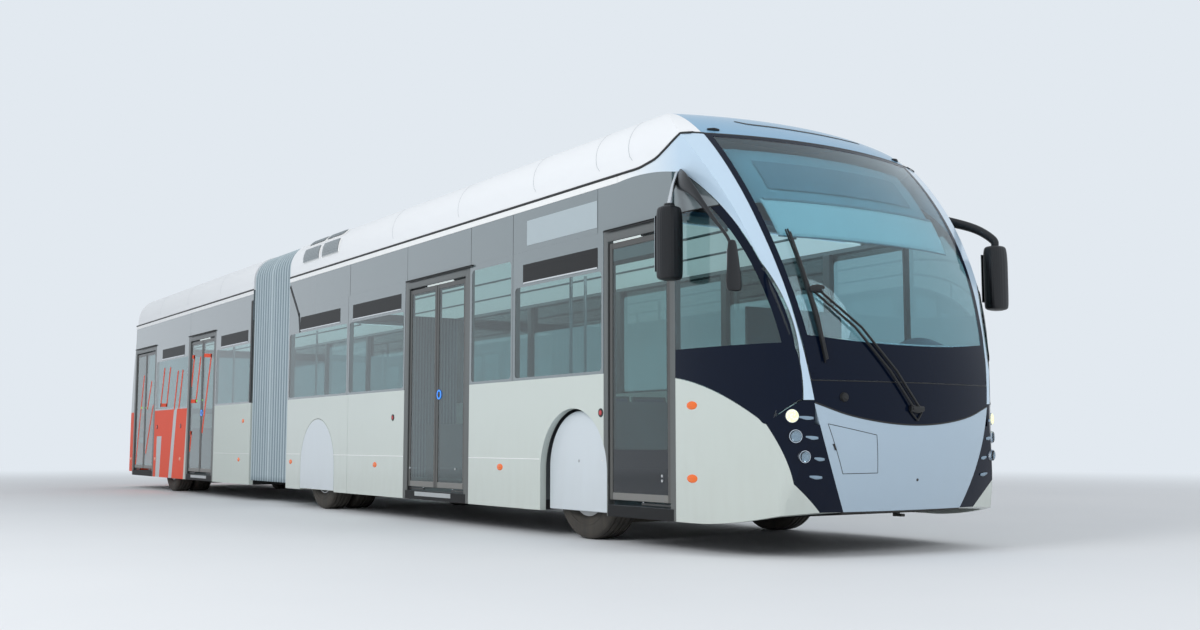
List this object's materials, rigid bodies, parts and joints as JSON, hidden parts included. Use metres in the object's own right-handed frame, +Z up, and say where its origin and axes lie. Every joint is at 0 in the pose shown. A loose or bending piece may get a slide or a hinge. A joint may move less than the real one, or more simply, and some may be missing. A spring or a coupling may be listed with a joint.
{
  "type": "articulated bus",
  "caption": "Articulated low-floor city bus with two sections, a bellows joint, three axles, inward-gliding doors and a deep curved windscreen in a pale band.",
  "frame": {"origin": "on the ground, midway between the wiper at the nose and the tail, on the centre plane", "axes": "+X forward to the cab, +Y to the left side, +Z up"},
  "size_m": [18.6712, 3.12, 3.4999],
  "materials": {
    "body_white": "semi-gloss",
    "band_white": "semi-gloss",
    "upper_grey": "semi-gloss",
    "roof_white": "semi-gloss",
    "rear_livery": "semi-gloss",
    "frame_grey": "satin",
    "window_glass": "polished",
    "screen_glass": "polished",
    "black_gloss": "gloss",
    "black_matte": "matte",
    "tyre_rubber": "matte",
    "rim_silver": "satin",
    "chassis_black": "matte",
    "floor_grey": "matte",
    "seat_cloth": "matte",
    "rail_steel": "satin",
    "bellows_grey": "matte",
    "lamp_red": "gloss",
    "mass_grey": "satin"
  },
  "bodies": {
    "front_section": {"front_floor": "floor_grey", "front_side_panels": "body_white", "front_pillars": "frame_grey", "front_upper_panels": "upper_grey", "front_roof": "roof_white", "front_windows": "window_glass", "front_hoop": "band_white", "windscreen": "screen_glass", "lower_screen": "black_gloss", "nose_panel": "body_white", "headlamp_strips": "black_gloss", "front_axles": "chassis_black", "drive_blocks": "mass_grey", "dashboard": "black_matte", "front_seats": "seat_cloth", "front_handrails": "rail_steel", "mirrors": "black_gloss", "wiper": "black_matte", "bellows": "bellows_grey"},
    "rear_section": {"rear_floor": "floor_grey", "rear_side_panels": "rear_livery", "rear_upper_panels": "upper_grey", "rear_pillars": "frame_grey", "rear_windows": "window_glass", "rear_roof": "roof_white", "rear_axle": "chassis_black", "rear_seats": "seat_cloth", "rear_handrails": "rail_steel", "tail_lamps": "lamp_red"},
    "steering_wheel": {"steering_wheel": "black_matte"},
    "knuckle_left": {"knuckle_left": "chassis_black", "wheel_cover_left": "body_white"},
    "front_wheel_left": {"front_tyre_left": "tyre_rubber", "front_rim_left": "rim_silver"},
    "middle_wheel_left": {"middle_tyres_left": "tyre_rubber", "middle_rims_left": "rim_silver"},
    "rear_wheel_left": {"rear_tyres_left": "tyre_rubber", "rear_rims_left": "rim_silver"},
    "knuckle_right": {"knuckle_right": "chassis_black", "wheel_cover_right": "body_white"},
    "front_wheel_right": {"front_tyre_right": "tyre_rubber", "front_rim_right": "rim_silver"},
    "middle_wheel_right": {"middle_tyres_right": "tyre_rubber", "middle_rims_right": "rim_silver"},
    "rear_wheel_right": {"rear_tyres_right": "tyre_rubber", "rear_rims_right": "rim_silver"},
    "door_1_column": {"door_1_column": "frame_grey"},
    "door_1_leaf": {"door_1_leaf": "frame_grey"},
    "door_2_rear_column": {"door_2_rear_column": "frame_grey"},
    "door_2_rear_leaf": {"door_2_rear_leaf": "frame_grey"},
    "door_2_front_column": {"door_2_front_column": "frame_grey"},
    "door_2_front_leaf": {"door_2_front_leaf": "frame_grey"},
    "door_3_rear_column": {"door_3_rear_column": "frame_grey"},
    "door_3_rear_leaf": {"door_3_rear_leaf": "frame_grey"},
    "door_3_front_column": {"door_3_front_column": "frame_grey"},
    "door_3_front_leaf": {"door_3_front_leaf": "frame_grey"},
    "door_4_rear_column": {"door_4_rear_column": "frame_grey"},
    "door_4_rear_leaf": {"door_4_rear_leaf": "frame_grey"},
    "door_4_front_column": {"door_4_front_column": "frame_grey"},
    "door_4_front_leaf": {"door_4_front_leaf": "frame_grey"}
  },
  "joints": [
    {"name": "articulation", "type": "hinge", "parent": "front_section", "child": "rear_section", "pos_m": [-1.3, 0, 0.225], "axis": [0, 0, 1], "range_deg": [-50, 50], "deforming": ["bellows"]},
    {"name": "steer_left", "type": "hinge", "parent": "front_section", "child": "knuckle_left", "pos_m": [6.6, 1.005, 0.4785], "axis": [0, 0, 1], "range_deg": [-40, 40]},
    {"name": "front_spin_left", "type": "hinge", "parent": "knuckle_left", "child": "front_wheel_left", "pos_m": [6.6, 1.005, 0.4785], "axis": [0, 1, 0], "continuous": true},
    {"name": "middle_spin_left", "type": "hinge", "parent": "front_section", "child": "middle_wheel_left", "pos_m": [0.58, 0.899, 0.4785], "axis": [0, 1, 0], "continuous": true},
    {"name": "rear_spin_left", "type": "hinge", "parent": "rear_section", "child": "rear_wheel_left", "pos_m": [-6.46, 0.899, 0.4785], "axis": [0, 1, 0], "continuous": true},
    {"name": "steer_right", "type": "hinge", "parent": "front_section", "child": "knuckle_right", "pos_m": [6.6, -1.005, 0.4785], "axis": [0, 0, 1], "range_deg": [-40, 40]},
    {"name": "front_spin_right", "type": "hinge", "parent": "knuckle_right", "child": "front_wheel_right", "pos_m": [6.6, -1.005, 0.4785], "axis": [0, 1, 0], "continuous": true},
    {"name": "middle_spin_right", "type": "hinge", "parent": "front_section", "child": "middle_wheel_right", "pos_m": [0.58, -0.899, 0.4785], "axis": [0, 1, 0], "continuous": true},
    {"name": "rear_spin_right", "type": "hinge", "parent": "rear_section", "child": "rear_wheel_right", "pos_m": [-6.46, -0.899, 0.4785], "axis": [0, 1, 0], "continuous": true},
    {"name": "helm_turn", "type": "hinge", "parent": "front_section", "child": "steering_wheel", "pos_m": [8.2, 0.56, 1.29], "axis": [-0.4695, 0, 0.8829], "range_deg": [-720, 720]},
    {"name": "door_1_open", "type": "hinge", "parent": "front_section", "child": "door_1_column", "pos_m": [8.026, -1.231, 0.33], "axis": [0, 0, -1], "range_deg": [0, 84]},
    {"name": "door_1_pivot", "type": "hinge", "parent": "door_1_column", "child": "door_1_leaf", "pos_m": [7.593, -1.231, 0.33], "axis": [0, 0, -1], "range_deg": [-170, 0]},
    {"name": "door_2_rear_open", "type": "hinge", "parent": "front_section", "child": "door_2_rear_column", "pos_m": [3.244, -1.231, 0.33], "axis": [0, 0, 1], "range_deg": [0, 84]},
    {"name": "door_2_rear_pivot", "type": "hinge", "parent": "door_2_rear_column", "child": "door_2_rear_leaf", "pos_m": [3.5795, -1.231, 0.33], "axis": [0, 0, 1], "range_deg": [-170, 0]},
    {"name": "door_2_front_open", "type": "hinge", "parent": "front_section", "child": "door_2_front_column", "pos_m": [4.596, -1.231, 0.33], "axis": [0, 0, -1], "range_deg": [0, 84]},
    {"name": "door_2_front_pivot", "type": "hinge", "parent": "door_2_front_column", "child": "door_2_front_leaf", "pos_m": [4.2605, -1.231, 0.33], "axis": [0, 0, -1], "range_deg": [-170, 0]},
    {"name": "door_3_rear_open", "type": "hinge", "parent": "rear_section", "child": "door_3_rear_column", "pos_m": [-5.276, -1.231, 0.33], "axis": [0, 0, 1], "range_deg": [0, 84]},
    {"name": "door_3_rear_pivot", "type": "hinge", "parent": "door_3_rear_column", "child": "door_3_rear_leaf", "pos_m": [-4.9405, -1.231, 0.33], "axis": [0, 0, 1], "range_deg": [-170, 0]},
    {"name": "door_3_front_open", "type": "hinge", "parent": "rear_section", "child": "door_3_front_column", "pos_m": [-3.924, -1.231, 0.33], "axis": [0, 0, -1], "range_deg": [0, 84]},
    {"name": "door_3_front_pivot", "type": "hinge", "parent": "door_3_front_column", "child": "door_3_front_leaf", "pos_m": [-4.2595, -1.231, 0.33], "axis": [0, 0, -1], "range_deg": [-170, 0]},
    {"name": "door_4_rear_open", "type": "hinge", "parent": "rear_section", "child": "door_4_rear_column", "pos_m": [-8.896, -1.231, 0.33], "axis": [0, 0, 1], "range_deg": [0, 84]},
    {"name": "door_4_rear_pivot", "type": "hinge", "parent": "door_4_rear_column", "child": "door_4_rear_leaf", "pos_m": [-8.5555, -1.231, 0.33], "axis": [0, 0, 1], "range_deg": [-170, 0]},
    {"name": "door_4_front_open", "type": "hinge", "parent": "rear_section", "child": "door_4_front_column", "pos_m": [-7.524, -1.231, 0.33], "axis": [0, 0, -1], "range_deg": [0, 84]},
    {"name": "door_4_front_pivot", "type": "hinge", "parent": "door_4_front_column", "child": "door_4_front_leaf", "pos_m": [-7.8645, -1.231, 0.33], "axis": [0, 0, -1], "range_deg": [-170, 0]}
  ],
  "couplings": [
    {"joint": "steer_right", "follows": "steer_left", "ratio": 1},
    {"joint": "helm_turn", "follows": "steer_left", "ratio": 18},
    {"joint": "door_1_pivot", "follows": "door_1_open", "ratio": -2},
    {"joint": "door_2_rear_pivot", "follows": "door_2_rear_open", "ratio": -2},
    {"joint": "door_2_front_pivot", "follows": "door_2_front_open", "ratio": -2},
    {"joint": "door_3_rear_pivot", "follows": "door_3_rear_open", "ratio": -2},
    {"joint": "door_3_front_pivot", "follows": "door_3_front_open", "ratio": -2},
    {"joint": "door_4_rear_pivot", "follows": "door_4_rear_open", "ratio": -2},
    {"joint": "door_4_front_pivot", "follows": "door_4_front_open", "ratio": -2}
  ]
}
